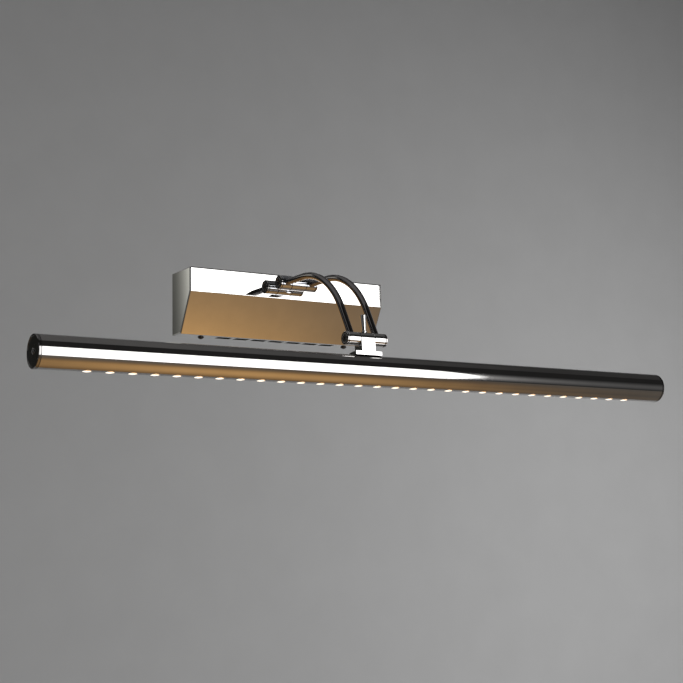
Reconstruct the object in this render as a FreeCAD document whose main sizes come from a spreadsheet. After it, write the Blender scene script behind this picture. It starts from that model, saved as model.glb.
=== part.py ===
import FreeCAD, Part
import math
import os
import Sketcher

# A wall-mounted picture light. The origin is the centre of the wall plate's back face:
# +Y points into the wall, -Y out into the room, +X along the lamp tube, +Z up. Millimetres.

os.makedirs("parts", exist_ok=True)
doc = FreeCAD.newDocument("picture_light")
V = FreeCAD.Vector
X_AXIS = V(1, 0, 0)
Y_AXIS = V(0, 1, 0)
Z_AXIS = V(0, 0, 1)

# ---------------------------------------------------------------- driving dimensions
DIMENSIONS = {
    # wall box: a folded sheet cover over a wall plate
    "box_width": 200.0,
    "box_height": 57.2,
    "box_depth": 36.0,
    "box_foot_depth": 16.4,
    "facet_height": 21.7,
    "cover_gauge": 1.2,
    "fold_radius": 1.3,
    "vent_length": 14.0,
    "vent_width": 8.0,
    "vent_pitch": 18.0,
    "vent_count": 7,
    "plate_width": 196.6,
    "plate_height": 54.4,
    "plate_gauge": 1.5,
    "tab_width": 14.0,
    "tab_reach": 10.0,
    "tab_spread": 150.0,
    "wall_slot_spacing": 160.0,
    "wall_slot_length": 12.0,
    "wall_slot_radius": 2.5,
    "cable_hole_radius": 5.5,
    "cable_bore_radius": 3.5,
    "cable_hole_across": 63.0,
    "cable_hole_up": -8.0,
    "m3_tapped_radius": 1.25,
    "m3_clear_radius": 1.7,
    # wall barrel, in front of the upper facet
    "barrel_stand_off": 12.5,
    "barrel_below_top": 9.8,
    "wall_barrel_radius": 6.3,
    "wall_barrel_half": 19.0,
    "wall_hub_half": 7.0,
    "post_radius": 4.0,
    "post_bore_radius": 2.0,
    # parts that both barrels share
    "axle_radius": 3.25,
    "axle_bore_radius": 1.9,
    "running_gap": 0.05,
    "friction_washer_gauge": 0.5,
    "end_disc_gauge": 1.5,
    # arms
    "arm_radius": 3.0,
    "arm_bore_radius": 2.2,
    "arm_offset": 12.25,
    "arm_level_run": 31.5,
    "arm_bend_radius": 73.0,
    "arm_bend_angle": 61.0,
    "arm_drop_run": 31.9,
    # front barrel and lamp bracket
    "front_barrel_radius": 5.6,
    "front_barrel_half": 19.6,
    "stem_width": 13.0,
    "foot_width": 25.4,
    "foot_height": 2.9,
    "foot_back_height": 2.5,
    "bracket_depth": 10.4,
    "head_tilt": 5.0,
    "axle_to_tube": 27.0,
    # lamp tube
    "lamp_length": 610.0,
    "tube_radius": 13.0,
    "tube_wall": 0.9,
    "cap_thickness": 2.0,
    "tube_offset": 18.0,
    "light_count": 30,
    "light_pitch": 18.2,
    "light_hole_radius": 3.5,
}
sheet = doc.addObject("Spreadsheet::Sheet", "sheet")
for row, (alias, value) in enumerate(DIMENSIONS.items(), start=1):
    sheet.set(f"A{row}", alias)
    sheet.set(f"B{row}", str(value))
    sheet.setAlias(f"B{row}", alias)
doc.recompute()


def size(alias):
    """The value of a driving dimension, as the sheet holds it."""
    return float(sheet.get(alias))


# ---------------------------------------------------------------- small building helpers
TURNS = {
    "+X": FreeCAD.Rotation(Y_AXIS, 90),
    "-X": FreeCAD.Rotation(Y_AXIS, -90),
    "+Y": FreeCAD.Rotation(X_AXIS, -90),
    "-Y": FreeCAD.Rotation(X_AXIS, 90),
    "+Z": FreeCAD.Rotation(),
    "-Z": FreeCAD.Rotation(X_AXIS, 180),
}
SKETCH_PLANES = {"XY": "XY_Plane", "XZ": "XZ_Plane", "YZ": "YZ_Plane"}


def bind(obj, **formulas):
    """Sets properties from numbers, or binds them to formulas over the sheet."""
    for prop, formula in formulas.items():
        if isinstance(formula, str):
            obj.setExpression(prop, formula)
        else:
            setattr(obj, prop, formula)
    return obj


def put(obj, at, turn=None):
    """Places an object: each coordinate is a number or a formula over the sheet."""
    obj.Placement = FreeCAD.Placement(V(), turn or FreeCAD.Rotation())
    for letter, coordinate in zip("xyz", at):
        obj.setExpression(f"Placement.Base.{letter}", str(coordinate))
    return obj


def cylinder(name, radius, height, at=(0, 0, 0), along="+Z"):
    """A round bar that starts at a point and runs along a direction or a rotated +Z."""
    bar = doc.addObject("Part::Cylinder", name)
    bind(bar, Radius=radius, Height=height)
    turn = TURNS[along] if isinstance(along, str) else along
    return put(bar, at, turn)


def block(name, length, width, height, at):
    """A block from its lowest corner: length along X, width along Y, height along Z."""
    box = doc.addObject("Part::Box", name)
    bind(box, Length=length, Width=width, Height=height)
    return put(box, at)


def hexagon(name, across_flats, height, at, along):
    """A six-sided prism, sized across its flats."""
    prism = doc.addObject("Part::Prism", name)
    prism.Polygon = 6
    bind(prism, Circumradius=across_flats / math.sqrt(3), Height=height)
    return put(prism, at, TURNS[along])


def fuse(name, *shapes):
    """One solid out of several."""
    joined = doc.addObject("Part::MultiFuse", name)
    joined.Shapes = list(shapes)
    joined.Refine = True
    return joined


def cut(name, base, *tools):
    """The base with the tools taken out of it."""
    tool = tools[0]
    if len(tools) > 1:
        tool = fuse(f"{name}_tools", *tools)
    result = doc.addObject("Part::Cut", name)
    result.Base = base
    result.Tool = tool
    return result


def broken_edges(name, base, depth, wanted):
    """Chamfers the round edges of a solid that the test picks."""
    doc.recompute()
    bevel = doc.addObject("Part::Chamfer", name)
    bevel.Base = base
    edges = enumerate(base.Shape.Edges, start=1)
    bevel.Edges = [(number, depth, depth) for number, edge in edges if wanted(edge)]
    return bevel


def is_circle(edge, radius):
    """True for a full circle of this radius."""
    curve = edge.Curve
    if not isinstance(curve, Part.Circle) or len(edge.Vertexes) != 1:
        return False
    return abs(curve.Radius - radius) < 1e-4


def new_body(name):
    """A PartDesign body."""
    return doc.addObject("PartDesign::Body", name)


def new_sketch(body, name, plane, lift=0):
    """A sketch on one of the body's own origin planes, lifted off it along its normal."""
    sketch = body.newObject("Sketcher::SketchObject", name)
    found = [f for f in body.Origin.OriginFeatures if f.Role == SKETCH_PLANES[plane]]
    sketch.AttachmentSupport = [(found[0], "")]
    sketch.MapMode = "FlatFace"
    if isinstance(lift, str):
        sketch.setExpression("AttachmentOffset.Base.z", lift)
    else:
        sketch.AttachmentOffset = FreeCAD.Placement(V(0, 0, lift), FreeCAD.Rotation())
    return sketch


def fix_point(sketch, geometry, point, across, up):
    """Holds a sketch point at two coordinates, each a number or a formula."""
    for kind, coordinate in (("DistanceX", across), ("DistanceY", up)):
        value = evaluate(coordinate)
        index = sketch.addConstraint(
            Sketcher.Constraint(kind, -1, 1, geometry, point, value)
        )
        if isinstance(coordinate, str):
            sketch.setExpression(f"Constraints[{index}]", coordinate)


def evaluate(formula):
    """The number that a formula over the sheet stands for."""
    if not isinstance(formula, str):
        return float(formula)
    return float(sheet.evalExpression(formula.replace("sheet.", "")))


def outline(sketch, corners):
    """A closed outline of straight runs, with every corner held by its coordinates."""
    points = [V(evaluate(across), evaluate(up), 0) for across, up in corners]
    first = sketch.GeometryCount
    count = len(points)
    for index in range(count):
        run = Part.LineSegment(points[index], points[(index + 1) % count])
        sketch.addGeometry(run, False)
    for index in range(count):
        following = first + (index + 1) % count
        sketch.addConstraint(
            Sketcher.Constraint("Coincident", first + index, 2, following, 1)
        )
    for index, (across, up) in enumerate(corners):
        fix_point(sketch, first + index, 1, across, up)


def hold_radius(sketch, geometry, radius):
    """Holds the radius of a circle or an arc, a number or a formula."""
    held = sketch.addConstraint(Sketcher.Constraint("Radius", geometry, evaluate(radius)))
    if isinstance(radius, str):
        sketch.setExpression(f"Constraints[{held}]", radius)


def ring(sketch, radius, across=0, up=0):
    """A circle held by its centre and radius."""
    centre = V(evaluate(across), evaluate(up), 0)
    index = sketch.addGeometry(Part.Circle(centre, Z_AXIS, evaluate(radius)), False)
    fix_point(sketch, index, 3, across, up)
    hold_radius(sketch, index, radius)


def rectangle(sketch, width, height, across=0, up=0):
    """A rectangle by its centre and its size, all formulas."""
    left = f"({across}) - ({width}) / 2"
    right = f"({across}) + ({width}) / 2"
    low = f"({up}) - ({height}) / 2"
    high = f"({up}) + ({height}) / 2"
    outline(sketch, [(left, low), (right, low), (right, high), (left, high)])


def pad(body, name, sketch, length, symmetric=False, back=False):
    """Pushes a sketch out into material."""
    feature = body.newObject("PartDesign::Pad", name)
    feature.Profile = sketch
    feature.SideType = "Symmetric" if symmetric else "One side"
    feature.Reversed = back
    bind(feature, Length=length)
    return feature


def pocket(body, name, sketch, length, symmetric=False, back=False):
    """Cuts a sketch out of the body, and stops if it cuts nothing."""
    doc.recompute()
    before = body.Shape.Volume
    feature = body.newObject("PartDesign::Pocket", name)
    feature.Profile = sketch
    feature.SideType = "Symmetric" if symmetric else "One side"
    feature.Reversed = back
    bind(feature, Length=length)
    doc.recompute()
    if body.Shape.Volume > before - 1e-3:
        raise RuntimeError(f"{body.Label}.{name} cuts nothing")
    return feature


def turned(body, name, sketch, axis):
    """Revolves a sketch a full turn about one of its own axes."""
    feature = body.newObject("PartDesign::Revolution", name)
    feature.Profile = sketch
    feature.ReferenceAxis = (sketch, [axis])
    feature.Angle = 360
    return feature


def row_of(body, name, feature, sketch, axis, length, count):
    """Repeats a feature along a sketch axis."""
    doc.recompute()
    repeat = body.newObject("PartDesign::LinearPattern", name)
    repeat.Originals = [feature]
    repeat.Direction = (sketch, [axis])
    bind(repeat, Length=length, Occurrences=count)
    body.Tip = repeat
    return repeat


def lead_shape(corners, radius):
    """A round lead along straight runs with tangent arcs: corners are (point, bend radius)."""
    edges = []
    start = corners[0][0]
    for (here, bend), (after, _) in zip(corners[1:-1], corners[2:]):
        arriving = (here - start).normalize()
        leaving = (after - here).normalize()
        half_turn = arriving.getAngle(leaving) / 2
        setback = bend * math.tan(half_turn)
        enter = here - arriving * setback
        leave = here + leaving * setback
        inward = (leaving - arriving).normalize()
        middle = here + inward * (bend / math.cos(half_turn) - bend)
        if (enter - start).Length > 1e-6:
            edges.append(Part.LineSegment(start, enter).toShape())
        edges.append(Part.Arc(enter, middle, leave).toShape())
        start = leave
    edges.append(Part.LineSegment(start, corners[-1][0]).toShape())
    path = Part.Wire(edges)
    heading = (corners[1][0] - corners[0][0]).normalize()
    profile = Part.Wire([Part.Circle(corners[0][0], heading, radius).toShape()])
    tube = path.makePipeShell([profile], True, False)
    expected = math.pi * radius**2 * path.Length
    if abs(tube.Volume - expected) > 0.02 * expected:
        raise RuntimeError("a lead's volume isn't its section times its length")
    return tube


def solids(name, shapes):
    """A node of separate solids, or of one."""
    feature = doc.addObject("Part::Feature", name)
    feature.Shape = Part.makeCompound(shapes) if len(shapes) > 1 else shapes[0]
    return feature


def copies(name, master, placements):
    """One node that holds the same piece at several places."""
    doc.recompute()
    return solids(name, [master.Shape.transformed(p.toMatrix()) for p in placements])


def at(x, y, z, along="+Z"):
    """A place and a direction for a copy."""
    return FreeCAD.Placement(V(x, y, z), TURNS[along])


# ---------------------------------------------------------------- places worked out from the sheet
BOX_TOP = size("box_height") / 2
FACET_Y = -size("box_depth")
WALL_AXIS = V(0, FACET_Y - size("barrel_stand_off"), BOX_TOP - size("barrel_below_top"))
BEND = math.radians(size("arm_bend_angle"))
REACH = (
    size("arm_level_run")
    + size("arm_bend_radius") * math.sin(BEND)
    + size("arm_drop_run") * math.cos(BEND)
)
DROP = (
    size("arm_bend_radius") * (1 - math.cos(BEND))
    + size("arm_drop_run") * math.sin(BEND)
)
FRONT_AXIS = WALL_AXIS + V(0, -REACH, -DROP)
HEAD = FreeCAD.Placement(FRONT_AXIS, FreeCAD.Rotation(X_AXIS, -size("head_tilt")))
TUBE_DOWN = size("axle_to_tube")
TUBE_END = size("lamp_length") / 2 - size("cap_thickness")
LIGHTS = [
    size("tube_offset") + (n - (size("light_count") - 1) / 2) * size("light_pitch")
    for n in range(int(size("light_count")))
]
SIDES = {"left": -1, "right": 1}

parts = []


def finished(obj, placement=None):
    """Takes a piece into the hand-in, in its own place."""
    if placement is not None:
        obj.Placement = placement
    parts.append(obj)
    return obj


# ---------------------------------------------------------------- masters of small hardware
def machine_screw(name, head_radius, head_height, shank_radius, length, slot_width=0.8):
    """A domed slotted screw: its head's underside is at the origin, its shank runs down."""
    crown_radius = head_radius * 1.25
    crown = doc.addObject("Part::Sphere", f"{name}_crown")
    crown.Radius = crown_radius
    put(crown, (0, 0, head_height - crown_radius))
    disc = cylinder(f"{name}_disc", head_radius, head_height)
    dome = doc.addObject("Part::Common", f"{name}_dome")
    dome.Base = disc
    dome.Tool = crown
    slot_floor = head_height * 0.55
    slot_corner = (-head_radius, -slot_width / 2, slot_floor)
    slot = block(f"{name}_slot", 2 * head_radius, slot_width, head_height, slot_corner)
    shank = cylinder(f"{name}_shank", shank_radius, length, along="-Z")
    return fuse(name, cut(f"{name}_head", dome, slot), shank)


COVER_SCREW = machine_screw("m3_cover_screw", 2.8, 1.8, 1.22, 6.0)
PLATE_SCREW = machine_screw("m3_plate_screw", 2.8, 1.8, 1.22, 3.2)
EARTH_SCREW = machine_screw("m3_earth_screw", 2.8, 1.8, 1.22, 2.0)
CAP_SCREW = machine_screw("m3_cap_screw", 2.4, 1.5, 1.22, 10.0)
CLAMP_SCREW = machine_screw("clamp_screw", 1.8, 1.2, 1.0, 2.5, 0.5)
SMALL_SCREW = machine_screw("m2_screw", 1.9, 1.2, 0.95, 3.0, 0.5)
PLATE_SCREW_LONG = machine_screw("m3_long_screw", 2.6, 1.8, 1.22, 13.2)


# ---------------------------------------------------------------- wall box
# Places on the wall plate, across and up, and the inner parts' sizes.
DRIVER_MIDDLE = (-22.0, -6.0)
DRIVER_SIZE = (80.0, 27.0)
DRIVER_DEPTH = 16.5
DRIVER_HOLES = [(-65.5, -6.0), (21.5, -6.0)]
EAR_SIZE = (94.0, 9.0)
EAR_GAUGE = 2.0
TERMINAL_MIDDLE = (42.0, 4.0)
TERMINAL_SIZE = (25.0, 16.0)
TERMINAL_DEPTH = 12.0
POLE_PITCH = 8.5
POLE_RISE = 5.0
TERMINAL_HOLE = (TERMINAL_MIDDLE[0] - POLE_PITCH / 2, TERMINAL_MIDDLE[1])
EARTH_HOLE = (62.0, 14.0)
LEAD_RADIUS = 0.9


def make_wall_plate():
    """The steel plate that is screwed to the wall, with four bent tabs for the cover."""
    body = new_body("wall_plate")
    face = new_sketch(body, "plate_face", "XZ")
    rectangle(face, "sheet.plate_width", "sheet.plate_height")
    pad(body, "plate", face, "sheet.plate_gauge")
    tab_up = "sheet.plate_height / 2 - sheet.plate_gauge / 2"
    for side in (-1, 1):
        for level in (-1, 1):
            tab = new_sketch(body, f"tab_{side + 1}_{level + 1}", "XZ")
            rectangle(
                tab,
                "sheet.tab_width",
                "sheet.plate_gauge",
                f"{side} * sheet.tab_spread / 2",
                f"{level} * ({tab_up})",
            )
            pad(body, f"tab_pad_{side + 1}_{level + 1}", tab, "sheet.tab_reach")
    slots = new_sketch(body, "wall_slots", "XZ")
    for side in (-1, 1):
        half_straight = "(sheet.wall_slot_length / 2 - sheet.wall_slot_radius)"
        slot_outline(slots, f"{side} * sheet.wall_slot_spacing / 2", half_straight)
    pocket(body, "slot_cut", slots, "sheet.plate_gauge * 3", symmetric=True)
    holes = new_sketch(body, "holes", "XZ")
    ring(holes, "sheet.cable_hole_radius", "sheet.cable_hole_across", "sheet.cable_hole_up")
    for across, up in DRIVER_HOLES + [TERMINAL_HOLE, EARTH_HOLE]:
        ring(holes, "sheet.m3_tapped_radius", across, up)
    pocket(body, "hole_cut", holes, "sheet.plate_gauge * 3", symmetric=True)
    taps = new_sketch(body, "tab_taps", "XY")
    for side in (-1, 1):
        ring(
            taps,
            "sheet.m3_tapped_radius",
            f"{side} * sheet.tab_spread / 2",
            "-sheet.tab_reach * 0.6",
        )
    pocket(body, "tap_cut", taps, "sheet.box_height")
    return finished(body)


def slot_outline(sketch, across, half_straight):
    """A level slot with round ends, its straight sides tangent to the end arcs."""
    middle = evaluate(across)
    half = evaluate(half_straight)
    radius = evaluate("sheet.wall_slot_radius")
    for end in (-1, 1):
        centre = V(middle + end * half, 0, 0)
        turn = math.pi / 2 if end < 0 else -math.pi / 2
        arc = Part.ArcOfCircle(Part.Circle(centre, Z_AXIS, radius), turn, turn + math.pi)
        sketch.addGeometry(arc, False)
    for level in (-1, 1):
        ends = [V(middle + end * half, level * radius, 0) for end in (-1, 1)]
        sketch.addGeometry(Part.LineSegment(*ends), False)


def make_cover():
    """The folded and plated cover: five-sided in profile, open at the wall, vented below."""
    body = new_body("cover")
    profile = new_sketch(body, "profile", "YZ")
    top = "sheet.box_height / 2"
    knee = "sheet.box_height / 2 - sheet.facet_height"
    corners = [
        ("0", top),
        ("-sheet.box_depth", top),
        ("-sheet.box_depth", knee),
        ("-sheet.box_foot_depth", "-sheet.box_height / 2"),
        ("0", "-sheet.box_height / 2"),
    ]
    outline(profile, corners)
    shell = pad(body, "shell", profile, "sheet.box_width", symmetric=True)
    doc.recompute()
    folds = [
        f"Edge{number}"
        for number, edge in enumerate(body.Shape.Edges, start=1)
        if edge.BoundBox.YMin < -0.5
    ]
    fold = body.newObject("PartDesign::Fillet", "folds")
    fold.Base = (shell, folds)
    bind(fold, Radius="sheet.fold_radius")
    slope = math.atan2(
        size("box_depth") - size("box_foot_depth"),
        size("box_height") - size("facet_height"),
    )
    inner_front = "-sheet.box_depth + sheet.cover_gauge"
    knee_step = math.tan(slope / 2)
    inner_knee = f"{knee} + sheet.cover_gauge * {knee_step:.4f}"
    foot_step = math.tan(math.pi / 4 - slope / 2)
    inside = new_sketch(body, "inside", "YZ")
    outline(
        inside,
        [
            ("1", f"{top} - sheet.cover_gauge"),
            (inner_front, f"{top} - sheet.cover_gauge"),
            (inner_front, inner_knee),
            (
                f"-sheet.box_foot_depth + sheet.cover_gauge * {foot_step:.4f}",
                "-sheet.box_height / 2 + sheet.cover_gauge",
            ),
            ("1", "-sheet.box_height / 2 + sheet.cover_gauge"),
        ],
    )
    pocket(body, "hollow", inside, "sheet.box_width - 2 * sheet.cover_gauge", symmetric=True)
    below = new_sketch(body, "screw_holes", "XY", "-sheet.box_height / 2 - 1")
    for side in (-1, 1):
        across = f"{side} * sheet.tab_spread / 2"
        ring(below, "sheet.m3_clear_radius", across, "-sheet.tab_reach * 0.6")
    pocket(body, "screw_clearance", below, "sheet.cover_gauge + 2", back=True)
    hole = new_sketch(body, "post_hole", "XZ", "sheet.box_depth - sheet.cover_gauge - 1")
    ring(hole, "sheet.post_radius + 0.2", 0, "sheet.box_height / 2 - sheet.barrel_below_top")
    pocket(body, "post_clearance", hole, "sheet.cover_gauge + 2", back=True)
    vents = new_sketch(body, "vent", "XY", "-sheet.box_height / 2 - 1")
    rectangle(
        vents,
        "sheet.vent_length",
        "sheet.vent_width",
        "-sheet.vent_pitch * (sheet.vent_count - 1) / 2",
        "-sheet.box_foot_depth * 0.55",
    )
    first = pocket(body, "first_vent", vents, "sheet.cover_gauge + 2", back=True)
    span = "sheet.vent_pitch * (sheet.vent_count - 1)"
    row_of(body, "vent_row", first, vents, "H_Axis", span, "sheet.vent_count")
    return finished(body)


def make_grommet():
    """The bush in the cable hole: flush with the wall face, with a flange inside."""
    place = ["sheet.cable_hole_across", 0, "sheet.cable_hole_up"]
    neck = cylinder("grommet_neck", "sheet.cable_hole_radius - 0.05", 3.0, place, "-Y")
    inner = [place[0], "-sheet.plate_gauge", place[2]]
    flange = cylinder("grommet_flange", "sheet.cable_hole_radius + 2", 1.5, inner, "-Y")
    whole = fuse("grommet_whole", neck, flange)
    back = [place[0], 1, place[2]]
    bore = cylinder("grommet_bore", "sheet.cable_bore_radius", 6.0, back, "-Y")
    return finished(cut("cable_grommet", whole, bore))


def make_driver():
    """The LED driver's case, with a mounting ear at each end."""
    body = new_body("led_driver")
    case = new_sketch(body, "case_face", "XZ", "sheet.plate_gauge")
    rectangle(case, *DRIVER_SIZE, *DRIVER_MIDDLE)
    case_pad = pad(body, "case", case, DRIVER_DEPTH)
    doc.recompute()
    rounded = body.newObject("PartDesign::Fillet", "case_corners")
    upright = [
        f"Edge{number}"
        for number, edge in enumerate(body.Shape.Edges, start=1)
        if edge.BoundBox.YLength > 1
    ]
    rounded.Base = (case_pad, upright)
    rounded.Radius = 2.0
    ears = new_sketch(body, "ear_face", "XZ", "sheet.plate_gauge")
    rectangle(ears, *EAR_SIZE, *DRIVER_MIDDLE)
    pad(body, "ears", ears, EAR_GAUGE)
    holes = new_sketch(body, "ear_holes", "XZ")
    for across, up in DRIVER_HOLES:
        ring(holes, "sheet.m3_clear_radius", across, up)
    pocket(body, "ear_hole_cut", holes, 20.0, symmetric=True)
    return finished(body)


def pole_places():
    """Across and up of each terminal screw: two to a pole."""
    middle, up = TERMINAL_MIDDLE
    poles = [middle + n * POLE_PITCH for n in (-1, 0, 1)]
    return [(across, up + rise) for across in poles for rise in (-POLE_RISE, POLE_RISE)]


def make_terminal_block():
    """A three-pole terminal block with sunk clamp screws and one fixing hole."""
    body = new_body("terminal_block")
    face = new_sketch(body, "block_face", "XZ", "sheet.plate_gauge")
    rectangle(face, *TERMINAL_SIZE, *TERMINAL_MIDDLE)
    pad(body, "block", face, TERMINAL_DEPTH)
    front = size("plate_gauge") + TERMINAL_DEPTH
    wells = new_sketch(body, "wells", "XZ", front)
    taps = new_sketch(body, "taps", "XZ", front)
    for across, up in pole_places():
        ring(wells, 2.0, across, up)
        ring(taps, 1.05, across, up)
    pocket(body, "well_cut", wells, 3.5)
    pocket(body, "tap_cut", taps, 7.0)
    shaft = new_sketch(body, "fixing_hole", "XZ", front)
    ring(shaft, 1.7, *TERMINAL_HOLE)
    pocket(body, "fixing_cut", shaft, TERMINAL_DEPTH + 1)
    finished(body)
    heads = [at(across, 3.5 - front, up, "-Y") for across, up in pole_places()]
    finished(copies("terminal_screws", CLAMP_SCREW, heads))


def make_plate_hardware():
    """Screws and the earth tag on the wall plate, and the screws under the cover."""
    ear = -size("plate_gauge") - EAR_GAUGE
    finished(copies("driver_screws", PLATE_SCREW, [at(x, ear, z, "-Y") for x, z in DRIVER_HOLES]))
    tag_place = (EARTH_HOLE[0], "-sheet.plate_gauge", EARTH_HOLE[1])
    tag = cylinder("tag_disc", 3.4, 0.8, tag_place, "-Y")
    hole = cylinder("tag_hole", 1.6, 1.0, tag_place, "-Y")
    finished(cut("earth_tag", tag, hole))
    earth = at(EARTH_HOLE[0], -size("plate_gauge") - 0.8, EARTH_HOLE[1], "-Y")
    finished(copies("earth_screw", EARTH_SCREW, [earth]))
    spread = size("tab_spread") / 2
    below = -0.6 * size("tab_reach")
    under = [at(side * spread, below, -BOX_TOP, "-Z") for side in (-1, 1)]
    finished(copies("cover_screws", COVER_SCREW, under))
    front = -size("plate_gauge") - TERMINAL_DEPTH
    place = at(TERMINAL_HOLE[0], front, TERMINAL_HOLE[1], "-Y")
    finished(copies("terminal_fixing_screw", PLATE_SCREW_LONG, [place]))


def make_box_leads():
    """Leads inside the wall box: terminal block to driver and earth, driver to the post."""
    floor = TERMINAL_MIDDLE[1] - TERMINAL_SIZE[1] / 2
    ceiling = TERMINAL_MIDDLE[1] + TERMINAL_SIZE[1] / 2
    driver_end = DRIVER_MIDDLE[0] + DRIVER_SIZE[0] / 2
    depth = -9.0
    mains = []
    for pole, level in ((-1, -10.0), (0, -14.0)):
        across = TERMINAL_MIDDLE[0] + pole * POLE_PITCH
        route = [
            (V(across, depth, floor), 0),
            (V(across, depth, level), 2.5),
            (V(driver_end, depth, level), 0),
        ]
        mains.append(lead_shape(route, LEAD_RADIUS))
    finished(solids("mains_leads", mains))
    pole = TERMINAL_MIDDLE[0] + POLE_PITCH
    low = -size("plate_gauge") - LEAD_RADIUS - 0.1
    tag_rim = EARTH_HOLE[1] + 3.5
    earth_route = [
        (V(pole, depth, ceiling), 0),
        (V(pole, depth, ceiling + 8), 3.0),
        (V(EARTH_HOLE[0], low, ceiling + 10), 3.0),
        (V(EARTH_HOLE[0], low, tag_rim), 0),
    ]
    finished(solids("earth_lead", [lead_shape(earth_route, LEAD_RADIUS)]))
    driver_top = DRIVER_MIDDLE[1] + DRIVER_SIZE[1] / 2
    output_route = [
        (V(0, depth, driver_top), 0),
        (V(0, depth, WALL_AXIS.z), 8.0),
        (V(0, WALL_AXIS.y + LEAD_RADIUS + 0.2, WALL_AXIS.z), 0),
    ]
    finished(solids("output_lead", [lead_shape(output_route, LEAD_RADIUS)]))


# ---------------------------------------------------------------- wall hub and its fixing
STIFFENER_GAUGE = 1.5
WASHER_GAUGE = 1.2
NUT_HEIGHT = 4.5
NUT_ACROSS_FLATS = 13.0
POST_END_PROUD = 1.5
HUB_UP = "sheet.box_height / 2 - sheet.barrel_below_top"
HUB_OUT = "-sheet.box_depth - sheet.barrel_stand_off"
FACET_INSIDE = "-sheet.box_depth + sheet.cover_gauge"
POST_CLEAR = "sheet.post_radius + 0.1"


def make_wall_hub():
    """The bored hub between the wall sleeves, with its hollow post and collar."""
    barrel = cylinder(
        "hub_barrel",
        "sheet.wall_barrel_radius",
        "2 * sheet.wall_hub_half",
        ("-sheet.wall_hub_half", HUB_OUT, HUB_UP),
        "+X",
    )
    behind_facet = STIFFENER_GAUGE + WASHER_GAUGE + NUT_HEIGHT + POST_END_PROUD
    post_length = f"sheet.barrel_stand_off + sheet.cover_gauge + {behind_facet}"
    post = cylinder("hub_post", "sheet.post_radius", post_length, (0, HUB_OUT, HUB_UP), "+Y")
    collar_start = (0, "-sheet.box_depth - 1.5", HUB_UP)
    collar = cylinder("hub_collar", "sheet.post_radius + 2", 1.5, collar_start, "+Y")
    whole = fuse("hub_whole", barrel, post, collar)
    bore = cylinder(
        "hub_bore",
        "sheet.axle_radius + sheet.running_gap",
        "2 * sheet.wall_hub_half + 2",
        ("-sheet.wall_hub_half - 1", HUB_OUT, HUB_UP),
        "+X",
    )
    start = (0, HUB_OUT, HUB_UP)
    lead_way = cylinder("hub_lead_way", "sheet.post_bore_radius", 40.0, start, "+Y")
    finished(cut("wall_hub", whole, bore, lead_way))


def make_post_fixing():
    """The stiffener, washer and nut that clamp the post behind the facet."""
    plate = block(
        "stiffener_blank",
        60.0,
        STIFFENER_GAUGE,
        16.0,
        (-30.0, FACET_INSIDE, f"{HUB_UP} - 8"),
    )
    start = (0, "-sheet.box_depth", HUB_UP)
    hole = cylinder("stiffener_hole", POST_CLEAR, 12.0, start, "+Y")
    finished(cut("stiffener_plate", plate, hole))
    washer_start = (0, f"{FACET_INSIDE} + {STIFFENER_GAUGE}", HUB_UP)
    disc = cylinder("post_washer_disc", 7.5, WASHER_GAUGE, washer_start, "+Y")
    disc_hole = cylinder("post_washer_hole", POST_CLEAR, 12.0, start, "+Y")
    finished(cut("post_washer", disc, disc_hole))
    nut_start = (0, f"{FACET_INSIDE} + {STIFFENER_GAUGE + WASHER_GAUGE}", HUB_UP)
    prism = hexagon("post_nut_blank", NUT_ACROSS_FLATS, NUT_HEIGHT, nut_start, "+Y")
    thread = cylinder("post_nut_bore", "sheet.post_radius + 0.03", 20.0, start, "+Y")
    finished(cut("post_nut", prism, thread))


# ---------------------------------------------------------------- parts of the two barrels
END_SHANK = 4.0
SEAM = 0.02


def make_end_screw(name, radius):
    """An end disc with a shank for the axle: a ring groove and a hexagon socket in its face."""
    disc = cylinder(f"{name}_disc", radius, "sheet.end_disc_gauge")
    edged = broken_edges(
        f"{name}_edged",
        disc,
        0.35,
        lambda edge: edge.CenterOfMass.z > 1 and is_circle(edge, evaluate(radius)),
    )
    groove = doc.addObject("Part::Torus", f"{name}_groove")
    bind(groove, Radius1=3.7, Radius2=0.35)
    put(groove, (0, 0, "sheet.end_disc_gauge"))
    socket = hexagon(f"{name}_socket", 2.5, 1.2, (0, 0, "sheet.end_disc_gauge - 1"), "+Z")
    shank = cylinder(f"{name}_shank", "sheet.axle_bore_radius - 0.02", END_SHANK, along="-Z")
    return fuse(name, cut(f"{name}_head", edged, groove, socket), shank)


def make_washer(name, radius):
    """A friction washer for an axle."""
    disc = cylinder(f"{name}_disc", f"{radius} - 0.5", "sheet.friction_washer_gauge - 0.04")
    hole = cylinder(f"{name}_hole", "sheet.axle_radius + 0.02", 2.0, (0, 0, -0.5))
    return cut(name, disc, hole)


def make_axle(name, half, arm_turn, window_turn, centre):
    """A hollow axle: one hole at each arm, and a wide window at its middle for the lead."""
    length = half - size("end_disc_gauge")
    bar = cylinder(f"{name}_bar", "sheet.axle_radius", 2 * length, (-length, 0, 0), "+X")
    bore = cylinder(f"{name}_bore", "sheet.axle_bore_radius", 60.0, (-30.0, 0, 0), "+X")
    tools = [bore]
    for side, sign in SIDES.items():
        start = (f"{sign} * sheet.arm_offset", 0, 0)
        turn = arm_turn.multiply(TURNS["-Y"])
        tools.append(cylinder(f"{name}_way_{side}", 1.5, 6.0, start, turn))
    window = doc.addObject("Part::Box", f"{name}_window")
    bind(window, Length=4.0, Width=8.0, Height=4.3)
    corner = FreeCAD.Placement(V(-2.0, -4.0, -0.3), FreeCAD.Rotation())
    window.Placement = FreeCAD.Placement(V(), window_turn).multiply(corner)
    tools.append(window)
    return finished(cut(name, bar, *tools), FreeCAD.Placement(centre, FreeCAD.Rotation()))


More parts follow.
